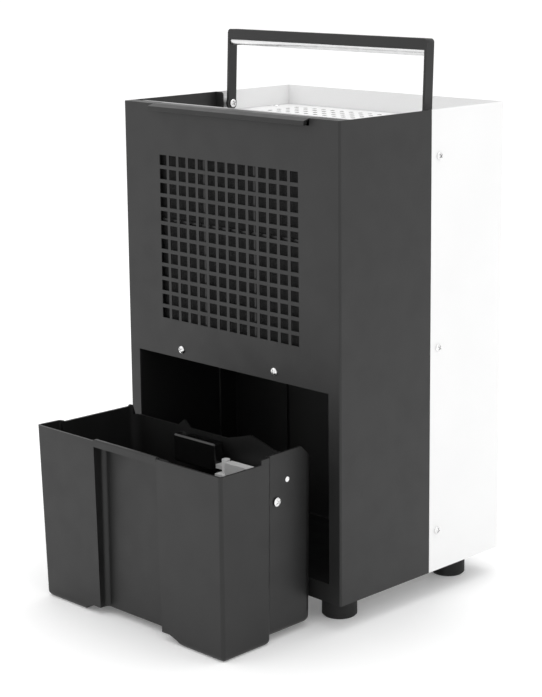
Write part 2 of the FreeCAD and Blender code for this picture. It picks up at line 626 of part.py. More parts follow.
def air_filter():
    front, back = "filter_front", "filter_front + filter_thick"
    outer = box("-filter_half", "filter_half", front, back, "filter_base", "filter_top")
    inner = box("filter_border - filter_half", "filter_half - filter_border", front + " - 1", back + " + 1",
                "filter_base + filter_border", "filter_top - filter_border")
    ribs = [box(x + " - 1.5", x + " + 1.5", front, front + " + 1.3", "filter_base + 2", "filter_top - 2")
            for x in ("-filter_half / 3", "filter_half / 3")]
    ribs.append(box("2 - filter_half", "filter_half - 2", front, front + " + 1.3",
                    "(filter_base + filter_top) / 2 - 1.5", "(filter_base + filter_top) / 2 + 1.5"))
    # finger lip: a cap over the slot that slopes down outside the panel and ends in a short drop
    crest, brow = "filter_top + lip_tall", "filter_top + lip_tall - lip_slope"
    lip = machine(doc.addObject("PartDesign::Body", "Lip"), "lip_shift - lip_half")
    profile = outline(sketch(lip, "YZ_Plane"), [
        ("lip_back", crest), ("1", crest), ("-lip_proud", brow), ("-lip_proud", "filter_top"),
        ("1.3 - lip_proud", "filter_top"), ("1.3 - lip_proud", brow + " - 1.2"), ("1", crest + " - 1.4"),
        ("lip_back", crest + " - 1.4")])
    pad(lip, profile, "2 * lip_half")
    web = box("-filter_half", "filter_half", front, back, "filter_top - 1", crest)
    keep(fuse([cut(outer, [inner]), lip, web] + ribs), "filter_frame")
    mesh = box("filter_border + 0.1 - filter_half", "filter_half - filter_border - 0.1", front + " + 1.4",
               front + " + 3.4", "filter_base + filter_border + 0.1", "filter_top - filter_border - 0.1")
    keep(mesh, "filter_mesh")
    guides = []
    for sign in ("-1", "1"):
        edges = sorted((sign + " * (filter_half - 4)", sign + " * (filter_half + 4)"), key=number)
        stop = sorted((sign + " * (filter_half - 9)", sign + " * (filter_half + fit)"), key=number)
        rail = box(edges[0], edges[1], "sheet + slack / 2", "filter_front + filter_thick + 3",
                   "deck_level + deck_lip + 2", "filter_top - 6")
        slot = box(stop[0], stop[1], "filter_front - fit", "filter_front + filter_thick + fit",
                   "filter_base - fit", "filter_top")
        guides.append(cut(rail, [slot]))
    keep(group(guides), "filter_guides")
    side = "width / 2 - sheet - slack"
    strip = box("-(%s)" % side, side, "lip_back + sheet + 1", "top_start - 1", "tall - 2.4", "tall - 1.2")
    stand = box("-(%s)" % side, side, "top_start - 2.2", "top_start - 1", "top_level - 14", "tall - 1.2")
    keep(fuse([strip, stand]), "filter_channel")


# ---------------------------------------------------------------- handle

def on_handle(thing, label):
    """Lean a piece drawn in the handle's upright frame about the pivot line."""
    thing.Placement = FreeCAD.Placement(V(), FreeCAD.Rotation(V(1, 0, 0), -number("handle_lean")))
    return keep(machine(thing, "0", "pivot_y", "pivot_z"), label)


def handle():
    half = "(width / 2 - handle_inset)"
    legs = []
    for x0 in ("-" + half, half + " - leg_thick"):
        legs.append(box(x0, x0 + " + leg_thick", "-handle_deep / 2", "handle_deep / 2", "0", "handle_rise - 4", place))
        legs.append(rod("eye_radius", "leg_thick", x0, "0", "0", "X", place))
    bar = box("-" + half, half, "-handle_deep / 2", "handle_deep / 2", "handle_rise - bar_tall", "handle_rise", place)
    doc.recompute()
    upper = number("handle_rise")
    edges = [i for i, edge in enumerate(bar.Shape.Edges, 1)
             if abs(edge.CenterOfMass.z - upper) < 0.01 and abs(edge.CenterOfMass.x) > 1]
    rounded = doc.addObject("Part::Fillet", "BarCorners")
    rounded.Base = bar
    rounded.Edges = [(i, 4.0, 4.0) for i in edges]
    hollow = box("leg_thick - " + half, half + " - leg_thick", "bar_wall - handle_deep / 2",
                 "handle_deep / 2 - bar_wall", "handle_rise - bar_tall - 1", "handle_rise - bar_wall", place)
    eye = rod("pivot_radius + running", "width", "-width / 2", "0", "0", "X", place)
    on_handle(cut(fuse(legs + [rounded]), [hollow, eye]), "handle_bail")
    grip = rod("grip_radius", "2 * (%s - leg_thick)" % half, "leg_thick - " + half, "0",
               "handle_rise - grip_drop", "X", place)
    on_handle(cut(grip, [rod("grip_radius - 1", "width", "-width / 2", "0", "handle_rise - grip_drop", "X", place)]),
              "handle_tube")
    screws, bushes = [], []
    for sign in (-1, 1):
        inner = "%d * (%s - leg_thick - fit)" % (sign, half)
        screws.append(screw(inner, "pivot_y", "pivot_z", "X", -sign, "4.2", "2.6", "pivot_radius",
                            "handle_inset + leg_thick + fit - sheet"))
        ends = sorted(("%d * (%s + fit)" % (sign, half), "%d * (width / 2 - sheet)" % sign), key=number)
        tube = rod("5", "(%s) - (%s)" % (ends[1], ends[0]), ends[0], "pivot_y", "pivot_z", "X")
        bushes.append(cut(tube, [rod("pivot_radius", "40", "(%s) - 10" % ends[0], "pivot_y", "pivot_z", "X")]))
    keep(group(screws), "handle_screws")
    keep(group(bushes), "handle_bushes")


# ---------------------------------------------------------------- controls

def controls():
    centre = "(panel_low + panel_high) / 2"
    face = "depth + panel_thick"
    plate = box("-panel_half", "panel_half", "depth", face, "panel_low", "panel_high")
    stem = rod("4.2", "12", "-knob_x", "depth - 4", centre, "Y")
    seat = box("switch_x - 8", "switch_x + 8", "depth - 1", face + " + 1", centre + " - 13", centre + " + 13")
    eyes = [rod("3", "12", x, "depth - 4", centre + " + 21", "Y") for x in ("-4", "6")]
    keep(cut(plate, [stem, seat] + eyes), "control_panel")
    lamps = [rod("3", "panel_thick + 6", x, "depth - 5", centre + " + 21", "Y") for x in ("-4", "6")]
    keep(group(lamps), "indicator_lamps")
    knob = body("humidity_knob")
    knob.Placement = FreeCAD.Placement(V(), TURN["Y"])
    machine(knob, "-knob_x", face + " + 0.6", centre)
    profile = outline(sketch(knob, "XZ_Plane"), [
        ("0", "-34"), ("3", "-34"), ("3", "0"), ("knob_radius", "0"), ("knob_radius - 1", "knob_long - 2.6"),
        ("knob_radius - 3", "knob_long - 0.6"), ("0", "knob_long - 0.6")])
    revolve(knob, profile)
    case = box("-knob_x - 16", "16 - knob_x", "depth - 40", "depth - sheet - 2", centre + " - 16", centre + " + 16")
    bearing = rod("3 + running", "36", "-knob_x", "depth - 33", centre, "Y")
    keep(cut(case, [bearing]), "humidistat")
    shell = box("switch_x - 8", "switch_x + 8", "depth - 16", face + " + 1", centre + " - 13", centre + " + 13")
    well = box("switch_x - 6.4", "switch_x + 6.4", "depth - 8", face + " + 2", centre + " - 11.4", centre + " + 11.4")
    pins = [rod("1.5 + running", "16", "switch_x - 8", "depth + 1", centre, "X")]
    keep(cut(shell, [well] + pins), "switch_housing")
    key = box("-6", "6", "-4", "4.5", "-9.7", "9.7", place)
    trunnion = rod("1.5", "15.4", "-7.7", "0", "0", "X", place)
    rocker = fuse([key, trunnion])
    rocker.Placement = FreeCAD.Placement(V(), FreeCAD.Rotation(V(1, 0, 0), number("rocker_tilt")))
    keep(machine(rocker, "switch_x", "depth + 1", centre), "switch_rocker")


def electrics():
    board = box("-110", "-10", "176", "177.6", "240", "300")
    chips = [box(x0, x1, "177.6", y1, z0, z1) for x0, x1, y1, z0, z1 in (
        ("-104", "-86", "193", "246", "262"), ("-80", "-62", "193", "246", "262"),
        ("-52", "-20", "200", "250", "280"), ("-104", "-74", "186", "284", "294"))]
    posts = [rod("3", "8", x, "168", z, "Y") for x in ("-104", "-16") for z in ("244", "296")]
    carrier = box("-112", "-8", "165", "168", "deck_level + 1.2", "304")
    keep(group([board, fuse([carrier] + posts)] + chips), "control_board")
    keep(rod("17", "62", "-62", "depth - 40", "1.5"), "run_capacitor")
    left = "-width / 2"
    flange = rod("gland_radius + 3.5", "4", left + " - 4", "gland_y", "gland_z", "X")
    neck = rod("gland_radius", "18", left, "gland_y", "gland_z", "X")
    nut = rod("gland_radius + 3.5", "5", left + " + sheet", "gland_y", "gland_z", "X")
    bore = rod("gland_bore", "40", left + " - 10", "gland_y", "gland_z", "X")
    keep(cut(fuse([flange, neck, nut]), [bore]), "cable_gland")


# ---------------------------------------------------------------- tank

TANK_X = "-tank_shift"
TANK_Y = "-tank_gap - tank_deep / 2"


def on_tank(thing, label):
    """Set a piece drawn about the tank's own middle down on the floor, turned by the tank's yaw."""
    thing.Placement = FreeCAD.Placement(V(), FreeCAD.Rotation(V(0, 0, 1), number("tank_yaw")))
    return keep(machine(thing, TANK_X, TANK_Y, "-foot_tall"), label)


def drafted(left, right, near, far, low, high, inset, rounds):
    """A block that narrows towards its base by the tank's draft; rounds are near, far and base radii."""
    lean = (high - low) * math.tan(math.radians(number("tank_draft")))
    # the wedge tapers along its own Y, which is then stood upright
    wedge = Part.makeWedge(left + inset + lean, low, inset - far, inset - far, left + inset,
                           right - inset - lean, high, -near - inset - lean, -near - inset, right - inset)
    block = doc.addObject("Part::Feature", "Wedge")
    block.Shape = wedge.rotated(V(), V(1, 0, 0), 90)
    edges = []
    for i, edge in enumerate(block.Shape.Edges, 1):
        middle = edge.CenterOfMass
        if middle.z < low + 0.1:
            edges.append((i, rounds[2], rounds[2]))
        elif middle.z < high - 0.1:
            radius = rounds[0] if middle.y < (near + far) / 2 else rounds[1]
            edges.append((i, radius, radius))
    rounded = doc.addObject("Part::Fillet", "TankBlock")
    rounded.Base = block
    rounded.Edges = edges
    doc.recompute()
    return rounded.Shape


def slab(corners, along, start, length):
    """A polygon pushed along X or Y from a start; its corners run across and up."""
    spots = [V(start, a, b) if along == "X" else V(a, start, b) for a, b in corners]
    way = V(length, 0, 0) if along == "X" else V(0, length, 0)
    return Part.Face(Part.makePolygon(spots + spots[:1])).extrude(way)


def tank():
    wide, deep, tall = number("tank_wide / 2"), number("tank_deep / 2"), number("tank_tall")
    wall, step, raised = number("tank_wall"), number("tank_step"), number("rear_raise")
    front, rear, base = number("edge_round"), number("rear_round"), number("base_round")
    left_split, right_split = number("step_left") - deep, number("step_right") - deep
    top, floor = tall + number("flap_rise"), number("tank_wall") * 1.4
    # full width at the outward end, then the left wall and further in the right wall step inwards
    lap = 4 * front
    outer_rounds = (front, front, base), (front, front, base), (front, rear, base)
    inner_rounds = [tuple(max(r - wall + 0.6, 1) for r in rounds) for rounds in outer_rounds]
    spans = ((-wide, wide, -deep, left_split, 0), (step - wide, wide, left_split - lap, right_split, 0),
             (step - wide, wide - step, right_split - lap, deep, raised))
    shell = None
    for (left, right, near, far, low), rounds in zip(spans, outer_rounds):
        block = drafted(left, right, near, far, low, top, 0, rounds)
        shell = shell.fuse(block) if shell else block
    # scoop for the fingers in the outward face, open below, and the raised channel between the runners
    half, back = number("scoop_half"), -deep + number("scoop_deep")
    scoop = Part.makeBox(2 * half, 40, number("scoop_top") + 1, V(-half, back - 40, -1))
    scoop = scoop.makeFillet(5, [e for e in scoop.Edges if abs(e.CenterOfMass.y - back) < 0.1
                                 and abs(abs(e.CenterOfMass.x) - half) < 0.1])
    behind = Part.makeBox(2 * (half + wall), 40 + wall, number("scoop_top") + wall,
                          V(-half - wall, back - 40, -1))
    side, channel = number("channel_half"), number("channel_rise")
    arch = slab([(-side - 17, -1), (-side - 10, channel * 0.6), (-side, channel), (side, channel),
                 (side + 10, channel * 0.6), (side + 17, -1)], "Y", -deep - 1, 2 * deep + 2)
    lifted = arch.translated(V(0, 0, floor))
    for (left, right, near, far, low), rounds in zip(spans, inner_rounds):
        bottom = floor if low == 0 else low + wall
        hollow = drafted(left, right, near, far, bottom, top + 1, wall, rounds)
        shell = shell.cut(hollow.cut(behind).cut(lifted))
    shell = shell.cut([scoop, arch] + rim_cuts(wide, deep, tall, top, step, left_split))
    # rounded grip bar over the scoop
    bar = number("lip_bar")
    grip = Part.makeBox(2 * half, bar, bar, V(-half, -deep, tall + 1.6 - bar))
    shell = shell.fuse(grip.makeFillet(1.4, [e for e in grip.Edges if e.CenterOfMass.z > tall + 1.5]))
    for y, z in (("arm_axis_y", "arm_axis_z"), ("stop_y", "stop_z")):
        shell = shell.cut(Part.makeCylinder(number("pin_radius + running"), 20,
                                            V(wide - 15, number(y), number(z)), V(1, 0, 0)))
    thing = doc.addObject("Part::Feature", "Tank")
    thing.Shape = max(shell.removeSplitter().Solids, key=lambda solid: solid.Volume)
    on_tank(thing, "tank")


def rim_cuts(wide, deep, tall, top, step, left_split):
    """What is cut away above the rim: a raised flap on the right, a lower far wall with a tooth and a crest."""
    far, sky = tall - number("far_drop"), top + 20
    start, peak = number("flap_start"), number("flap_peak")
    mouth = wide - step - 4
    over = [(deep + 5, far), (deep + 5, sky), (-deep - 5, sky)]
    right = slab([(-deep - 5, tall), (start, tall), (start, top - 0.8), (peak, top), (deep - 3, far + 4),
                  (deep - 2.5, far)] + over, "X", mouth, wide)
    left = slab([(-deep - 5, tall), (6 - deep, tall), (left_split, tall - 0.9), (left_split + 0.5, tall - 2),
                 (deep - 10, tall - 3.5), (deep - 9, tall - 2), (deep - 7, tall - 2), (deep - 6, tall - 3.5),
                 (deep - 3, far)] + over, "X", -mouth, -wide)
    tooth, crest, spread = number("tooth_x"), number("crest_x"), number("crest_half")
    middle = slab([(-mouth, far), (tooth - 10, far), (tooth, far + 7.2), (tooth + 8, far), (crest - spread, far),
                   (crest, far + number("crest_tall")), (crest + spread, far), (mouth, far), (mouth, sky),
                   (-mouth, sky)], "Y", deep - 15, 30)
    front = Part.makeBox(2 * mouth, deep, sky - tall, V(-mouth, -deep - 3, tall))
    return [right, left, middle, front]


def float_switch():
    """Float that lifts its arm as the water rises; both swing on a pin in the tank's right side."""
    x0, y0, z0 = "float_x", "float_y", "float_z"
    side = x0 + " + float_wide / 2"
    block = box(x0 + " - float_wide / 2", side, y0 + " - float_deep / 2", y0 + " + float_deep / 2", z0,
                z0 + " + float_tall", place)
    doc.recompute()
    rounding = number("float_round")
    rounded = doc.addObject("Part::Fillet", "FloatCorners")
    rounded.Base = block
    rounded.Edges = [(i, rounding, rounding) for i in range(1, 13)]
    on_tank(rounded, "float_box")
    arm_end = "(tank_wide / 2 - tank_step - tank_wall - 6)"
    near = "(arm_axis_y - 5.5)"
    bar = box("arm_left", arm_end, near, near + " + 10", "arm_axis_z - 7.5", "arm_axis_z + 1", place)
    plate = box("arm_left", arm_end, near, near + " + 3", z0 + " + 1", "arm_axis_z - 7", place)
    tongue = box("arm_left - 14", "arm_left + 4", near, y0 + " + 3", z0 + " + 4", z0 + " + 8", place)
    reach = box(side, "arm_left - 10", y0 + " - 5", y0 + " + 3", z0 + " + 4", z0 + " + 8", place)
    boss = rod("4", "arm_axis_z + 1.5 - (float_z + 4)", "arm_left - 7", near + " + 8.5", z0 + " + 4", "Z", place)
    eye = rod("pin_radius + 2.2", "3", arm_end + " - 3", "arm_axis_y", "arm_axis_z", "X", place)
    tab = box(arm_end + " - 6", arm_end, "stop_y + pin_radius + slack", near + " + 1", "stop_z - 3.5",
              "stop_z + 3.5", place)
    bore = rod("pin_radius + running", "20", arm_end + " - 12", "arm_axis_y", "arm_axis_z", "X", place)
    pocket = rod("pin_radius + 1.5", "9", arm_end + " - 12", "arm_axis_y", "arm_axis_z", "X", place)
    on_tank(cut(fuse([bar, plate, tongue, reach, boss, eye, tab]), [bore, pocket]), "float_arm")
    outside = "(tank_wide / 2 - tank_step)"
    pin = fuse([rod("pin_radius", outside + " + 5.1 - " + arm_end, arm_end + " - 4.5", "arm_axis_y",
                    "arm_axis_z", "X", place),
                rod("pin_radius + 1.1", "1.2", arm_end + " - 5", "arm_axis_y", "arm_axis_z", "X", place)])
    on_tank(pin, "float_pin")
    stop = fuse([rod("pin_radius", outside + " + 4 - " + arm_end, arm_end + " - 4", "stop_y", "stop_z", "X", place),
                 rod("pin_radius + 2", "1.9", outside + " - 0.3", "stop_y", "stop_z", "X", place)])
    on_tank(stop, "float_stop_screw")


# ---------------------------------------------------------------- build, check and write

def build():
    rear_casing()
    front_casing()
    base_plate()
    feet()
    side_rails()
    top_panel()
    top_panel_fixings()
    bay_liner()
    deck_and_tray()
    coil("evaporator", "evaporator_y")
    coil("condenser", "condenser_y")
    coil_end_plates()
    compressor()
    refrigerant_circuit()
    fan()
    air_filter()
    handle()
    controls()
    electrics()
    tank()
    float_switch()


def check_and_write():
    doc.recompute()
    for thing in doc.Objects:
        if "Invalid" in thing.State or "Error" in thing.State:
            raise RuntimeError("%s did not build: %s" % (thing.Label, thing.State))
    os.makedirs("parts", exist_ok=True)
    for node in NODES:
        if node.Shape.isNull() or not node.Shape.isValid():
            raise RuntimeError("%s has no valid shape" % node.Label)
        node.Shape.exportStep(os.path.join("parts", node.Label + ".step"))


build()
check_and_write()
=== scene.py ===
import math

import bmesh
import bpy
from mathutils import Matrix, Vector, noise


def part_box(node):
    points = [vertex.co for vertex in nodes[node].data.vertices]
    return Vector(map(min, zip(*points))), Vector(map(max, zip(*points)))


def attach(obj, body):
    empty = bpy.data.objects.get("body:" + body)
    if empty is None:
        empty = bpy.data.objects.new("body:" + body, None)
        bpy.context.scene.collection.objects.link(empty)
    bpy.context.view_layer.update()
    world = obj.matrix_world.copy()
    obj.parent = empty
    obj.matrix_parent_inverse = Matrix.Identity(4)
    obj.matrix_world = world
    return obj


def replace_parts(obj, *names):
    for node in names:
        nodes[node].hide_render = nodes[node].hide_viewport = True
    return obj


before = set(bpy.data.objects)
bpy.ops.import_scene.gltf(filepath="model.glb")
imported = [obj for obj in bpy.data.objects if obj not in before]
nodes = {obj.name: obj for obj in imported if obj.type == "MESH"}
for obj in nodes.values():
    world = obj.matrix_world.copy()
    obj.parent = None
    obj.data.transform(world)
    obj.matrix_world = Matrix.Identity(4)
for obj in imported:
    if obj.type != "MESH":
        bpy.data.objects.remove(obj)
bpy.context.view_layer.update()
scene = bpy.context.scene
MM = 0.001


# ---------------------------------------------------------------- materials

class Nodes:
    """Small helper that adds and links shader nodes in one material."""

    def __init__(self, name):
        self.material = bpy.data.materials.new(name)
        self.material.use_nodes = True
        self.tree = self.material.node_tree
        self.shader = self.tree.nodes["Principled BSDF"]
        self.place = self.add("ShaderNodeTexCoord").outputs["Object"]

    def add(self, kind, links=None, **settings):
        node = self.tree.nodes.new(kind)
        for key, value in settings.items():
            setattr(node, key, value)
        for socket, value in (links or {}).items():
            self.put(node.inputs[socket], value)
        return node

    def put(self, socket, value):
        if isinstance(value, bpy.types.NodeSocket):
            self.tree.links.new(value, socket)
        else:
            socket.default_value = value

    def set(self, **values):
        for name, value in values.items():
            self.put(self.shader.inputs[name.replace("_", " ")], value)

    def stretched(self, x, y, z):
        return self.add("ShaderNodeMapping", {"Vector": self.place, "Scale": (x, y, z)}).outputs["Vector"]

    def noise(self, scale, detail=2.0, rough=0.5, place=None):
        links = {"Vector": place or self.place, "Scale": scale, "Detail": detail, "Roughness": rough}
        return self.add("ShaderNodeTexNoise", links).outputs["Fac"]

    def spread(self, value, low, high, start=0.3, end=0.7):
        links = {"Value": value, "From Min": start, "From Max": end, "To Min": low, "To Max": high}
        return self.add("ShaderNodeMapRange", links).outputs["Result"]

    def mix(self, amount, first, second):
        node = self.add("ShaderNodeMix", data_type="RGBA")
        self.put(node.inputs["Factor"], amount)
        self.put(node.inputs["A"], first)
        self.put(node.inputs["B"], second)
        return node.outputs["Result"]

    def sum(self, first, second, weight=1.0):
        links = {0: second, 1: weight, 2: first}
        return self.add("ShaderNodeMath", links, operation="MULTIPLY_ADD").outputs[0]

    def bump(self, height, depth, strength=1.0):
        links = {"Height": height, "Distance": depth, "Strength": strength}
        self.set(Normal=self.add("ShaderNodeBump", links).outputs["Normal"])


def grey(value, warm=0.0):
    return (value * (1 + warm), value, value * (1 - warm), 1.0)


def coat(m, tone, swing, rough, pebble, depth, specular=0.5):
    """Powder coat or moulded plastic: fine pebble, slow colour drift, uneven gloss. Returns the colour."""
    fine = m.noise(pebble, 3.0, 0.6)
    slow = m.noise(14.0, 3.0)
    colour = m.mix(m.spread(m.sum(fine, slow, 0.6), 0.0, 1.0, 0.55, 1.05),
                   grey(tone * (1 - swing)), grey(tone * (1 + swing)))
    m.set(Base_Color=colour)
    m.set(Roughness=m.spread(m.noise(45.0, 4.0), rough - 0.05, rough + 0.05))
    m.set(Specular_IOR_Level=specular)
    m.bump(fine, depth)
    return colour


def coated(name, *finish):
    m = Nodes(name)
    coat(m, *finish)
    return m.material


def metal(name, tone, rough, along, depth=0.00001, warm=0.0):
    """Bare metal with fine drawing lines along one axis and small stains."""
    m = Nodes(name)
    scale = [60.0 if axis == along else 1800.0 for axis in "XYZ"]
    lines = m.noise(1.0, 3.0, 0.6, m.stretched(*scale))
    stains = m.noise(90.0, 4.0)
    m.set(Base_Color=m.mix(m.spread(stains, 0.0, 1.0), grey(tone * 0.9, warm), grey(tone, warm)))
    m.set(Metallic=1.0, Roughness=m.spread(lines, rough - 0.06, rough + 0.08))
    m.bump(lines, depth)
    return m.material


def woven(name):
    """Dark filter net: fine threads both ways with a soft sheen."""
    m = Nodes(name)
    weave = {"Vector": m.place, "Scale": 190.0, "Distortion": 0.6, "Detail": 1.0}
    across = m.add("ShaderNodeTexWave", weave, bands_direction="X").outputs["Fac"]
    upward = m.add("ShaderNodeTexWave", weave, bands_direction="Z").outputs["Fac"]
    threads = m.add("ShaderNodeMath", {0: across, 1: upward}, operation="MAXIMUM").outputs[0]
    dust = m.noise(260.0, 5.0, 0.7)
    shade = m.spread(m.sum(threads, dust, 0.8), 0.0, 1.0, 0.6, 1.5)
    m.set(Base_Color=m.mix(shade, grey(0.002), grey(0.016)))
    m.set(Roughness=m.spread(dust, 0.6, 0.85), Sheen_Weight=0.03, Sheen_Roughness=0.4)
    m.set(Specular_IOR_Level=0.25)
    m.bump(threads, 0.00012)
    return m.material


def board_green():
    m = Nodes("board")
    cells = {"Vector": m.place, "Scale": 320.0}
    tracks = m.add("ShaderNodeTexVoronoi", cells, distance="CHEBYCHEV").outputs["Distance"]
    shade = m.spread(tracks, 0.0, 1.0, 0.2, 0.5)
    m.set(Base_Color=m.mix(shade, (0.008, 0.055, 0.022, 1), (0.02, 0.13, 0.05, 1)))
    m.set(Roughness=m.spread(m.noise(200.0), 0.3, 0.45))
    m.bump(tracks, 0.00003)
    return m.material


def lamp_lens():
    m = Nodes("lamp")
    frost = m.noise(1400.0, 3.0)
    m.set(Base_Color=m.mix(m.spread(frost, 0.0, 1.0), (0.5, 0.5, 0.48, 1), (0.68, 0.68, 0.65, 1)))
    m.set(Roughness=m.spread(frost, 0.18, 0.35), Transmission_Weight=0.25)
    m.bump(frost, 0.00002)
    return m.material


WHITE_COAT = (0.83, 0.02, 0.42, 1500.0, 0.00003)


def coat_with_painted_hole_shade(name, surface):
    """White coat on the sheet's upper face; everything lower, the holes' edges with it, is drawn dark as
    painted shade for the holes.
    """
    m = Nodes(name)
    colour = coat(m, *WHITE_COAT)
    height = m.add("ShaderNodeSeparateXYZ", {"Vector": m.place}).outputs["Z"]
    # painted shade: everything below the upper face, the holes' edges with it, is drawn dark in place of
    # shadow in the holes
    painted_shade_mask = m.add("ShaderNodeMath", {0: height, 1: surface}, operation="LESS_THAN").outputs[0]
    m.set(Base_Color=m.mix(painted_shade_mask, colour, grey(0.03)))
    return m.material


MATERIALS = {
    "black_steel": coated("black_steel", 0.012, 0.12, 0.46, 1500.0, 0.00004, 0.45),
    "white_steel": coated("white_steel", *WHITE_COAT),
    "black_plastic": coated("black_plastic", 0.009, 0.12, 0.42, 2400.0, 0.000025, 0.42),
    "dark_plastic": coated("dark_plastic", 0.006, 0.12, 0.20, 2600.0, 0.000008),
    "grey_plastic": coated("grey_plastic", 0.55, 0.03, 0.40, 2400.0, 0.000015),
    "rubber": coated("rubber", 0.012, 0.18, 0.72, 1300.0, 0.00005, 0.35),
    "zinc": metal("zinc", 0.44, 0.36, "Y"),
    "bright_metal": metal("bright_metal", 0.86, 0.2, "Z"),
    "silver_tube": metal("silver_tube", 0.82, 0.3, "X"),
    "aluminium": metal("aluminium", 0.78, 0.36, "Z"),
    "copper": metal("copper", 0.5, 0.3, "Z", warm=0.55),
    "mesh": woven("mesh"),
    "board": board_green(),
    "lamp": lamp_lens(),
}

for node in nodes.values():
    for held in node.material_slots:
        held.material = MATERIALS[held.material.name.split(".")[0]]
panel_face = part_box("top_panel")[1][2]
# the top panel gets painted shade below its upper face, standing in for shadow in its holes
nodes["top_panel"].material_slots[0].material = coat_with_painted_hole_shade("white_steel_painted_hole_shade", panel_face - 0.1 * MM)


# ---------------------------------------------------------------- edges of the CAD pieces

def soften(name, width, segments=2, angle=32.0):
    """Break a CAD node's sharp edges as pressing, bending or moulding does."""
    thing = nodes[name]
    weld = thing.modifiers.new("Weld", "WELD")
    weld.merge_threshold = 0.000002
    bevel = thing.modifiers.new("Bevel", "BEVEL")
    bevel.width = width * MM
    bevel.segments = segments
    bevel.limit_method = "ANGLE"
    bevel.angle_limit = math.radians(angle)
    bevel.harden_normals = True
    bevel.use_clamp_overlap = True


for part, width in (
        ("rear_casing", 0.35), ("handle_bail", 0.5), ("filter_frame", 0.5), ("filter_channel", 0.4),
        ("bay_liner", 0.8), ("float_arm", 0.5), ("switch_housing", 0.5), ("switch_rocker", 0.7),
        ("humidity_knob", 0.5)):
    soften(part, width)


# ---------------------------------------------------------------- pieces finer than the CAD

def piece(name, made, material, body, smooth=True):
    """A finished bmesh as an object that rides on a CAD body."""
    if smooth:
        for face in made.faces:
            face.smooth = True
    mesh = bpy.data.meshes.new(name)
    made.to_mesh(mesh)
    made.free()
    thing = bpy.data.objects.new(name, mesh)
    scene.collection.objects.link(thing)
    mesh.materials.append(MATERIALS[material])
    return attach(thing, body)


def islands(name):
    """The box of each separate solid of a CAD node."""
    work = bmesh.new()
    work.from_mesh(nodes[name].data)
    bmesh.ops.remove_doubles(work, verts=work.verts, dist=0.000002)
    left, boxes = set(work.verts), []
    while left:
        heap, seen = [left.pop()], []
        while heap:
            vert = heap.pop()
            seen.append(nodes[name].matrix_world @ vert.co)
            for edge in vert.link_edges:
                other = edge.other_vert(vert)
                if other in left:
                    left.remove(other)
                    heap.append(other)
        boxes.append((Vector(map(min, zip(*seen))), Vector(map(max, zip(*seen)))))
    work.free()
    return sorted(boxes, key=lambda box: tuple(box[0]))


def head_height(x, y, radius, tall):
    """Height of a pan head over its seat: a low dome with a cross recess that deepens to the middle."""
    out = math.hypot(x, y) / radius
    height = tall * math.sqrt(max(0.0, 1 - 0.8 * out ** 3))
    if out < 0.62 and min(abs(x), abs(y)) < 0.12 * radius:
        height -= tall * (0.7 - 0.45 * out)
    return height


def screw_set(name, body, radius, tall, shank, outward):
    """Cross-recessed pan-head screws in place of a CAD node's plain ones; sizes in millimetres."""
    made, count, rings = bmesh.new(), 72, 22
    for number, (low, high) in enumerate(islands(name)):
        middle = (low + high) / 2
        way = outward(middle)
        reach = abs((high - low).dot(way))
        tip = middle + way * reach / 2
        turn = way.to_track_quat("Z", "Y").to_matrix().to_4x4() @ Matrix.Rotation(0.5 + 1.3 * number, 4, "Z")
        spot = Matrix.Translation(tip - way * tall * MM) @ turn
        profile = [(radius * (i + 1) / rings, None) for i in range(rings)]
        profile += [(radius, 0.0), (shank, 0.0), (shank, tall - reach / MM)]
        centre = made.verts.new(spot @ Vector((0, 0, head_height(0, 0, radius, tall) * MM)))
        last = None
        for out, level in profile:
            ring = []
            for i in range(count):
                x, y = (out * f(2 * math.pi * i / count) for f in (math.cos, math.sin))
                z = head_height(x, y, radius, tall) if level is None else level
                ring.append(made.verts.new(spot @ Vector((x * MM, y * MM, z * MM))))
            for i in range(count):
                j = (i + 1) % count
                made.faces.new((last[i], ring[i], ring[j], last[j]) if last else (centre, ring[i], ring[j]))
            last = ring
        made.faces.new(last[::-1])
    heads = piece(name + "_cross", made, "bright_metal", body)
    heads.data.set_sharp_from_angle(angle=math.radians(35))
    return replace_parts(heads, name)


def side_of(point):
    """Straight out to the side that a point is on."""
    return Vector((math.copysign(1.0, point.x), 0.0, 0.0))


# node, body, head radius, head height, shank radius, the way its heads face
SCREWS = (
    ("rear_screws", "cabinet", 3.9, 2.4, 2.0, lambda point: Vector((0.0, -1.0, 0.0))),
    ("side_screws", "cabinet", 3.9, 2.6, 2.0, side_of),
    ("top_panel_screws", "cabinet", 3.5, 1.8, 2.0, lambda point: Vector((0.0, 0.0, 1.0))),
    ("handle_screws", "cabinet", 4.2, 2.6, 2.9, lambda point: -side_of(point)),
    ("float_stop_screw", "tank", 4.4, 1.6, 2.45, side_of),
)
for row in SCREWS:
    screw_set(*row)


def filter_net():
    """The dark net, stretched over the frame's ribs with shallow slack folds."""
    low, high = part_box("filter_mesh")
    low, high = Vector(low), Vector(high)
    across, upward = 130, 120
    made = bmesh.new()
    grid = []
    for j in range(upward + 1):
        row = []
        for i in range(across + 1):
            u, v = i / across, j / upward
            edge = min(1.0, 12 * min(u, 1 - u, v, 1 - v))
            folds = noise.noise(Vector((u * 9.0, v * 2.5, 3.0)))
            folds += 0.5 * noise.noise(Vector((u * 22.0, v * 7.0, 8.0)))
            y = (low.y + high.y) / 2 + 0.55 * MM * folds * edge
            row.append(made.verts.new((low.x + u * (high.x - low.x), y, low.z + v * (high.z - low.z))))
        grid.append(row)
    for lower, upper in zip(grid, grid[1:]):
        for a, b, c, d in zip(lower, lower[1:], upper[1:], upper):
            made.faces.new((a, b, c, d))
    net = piece("filter_net", made, "mesh", "filter")
    thick = net.modifiers.new("Solidify", "SOLIDIFY")
    thick.thickness = 0.25 * MM
    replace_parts(net, "filter_mesh")


filter_net()


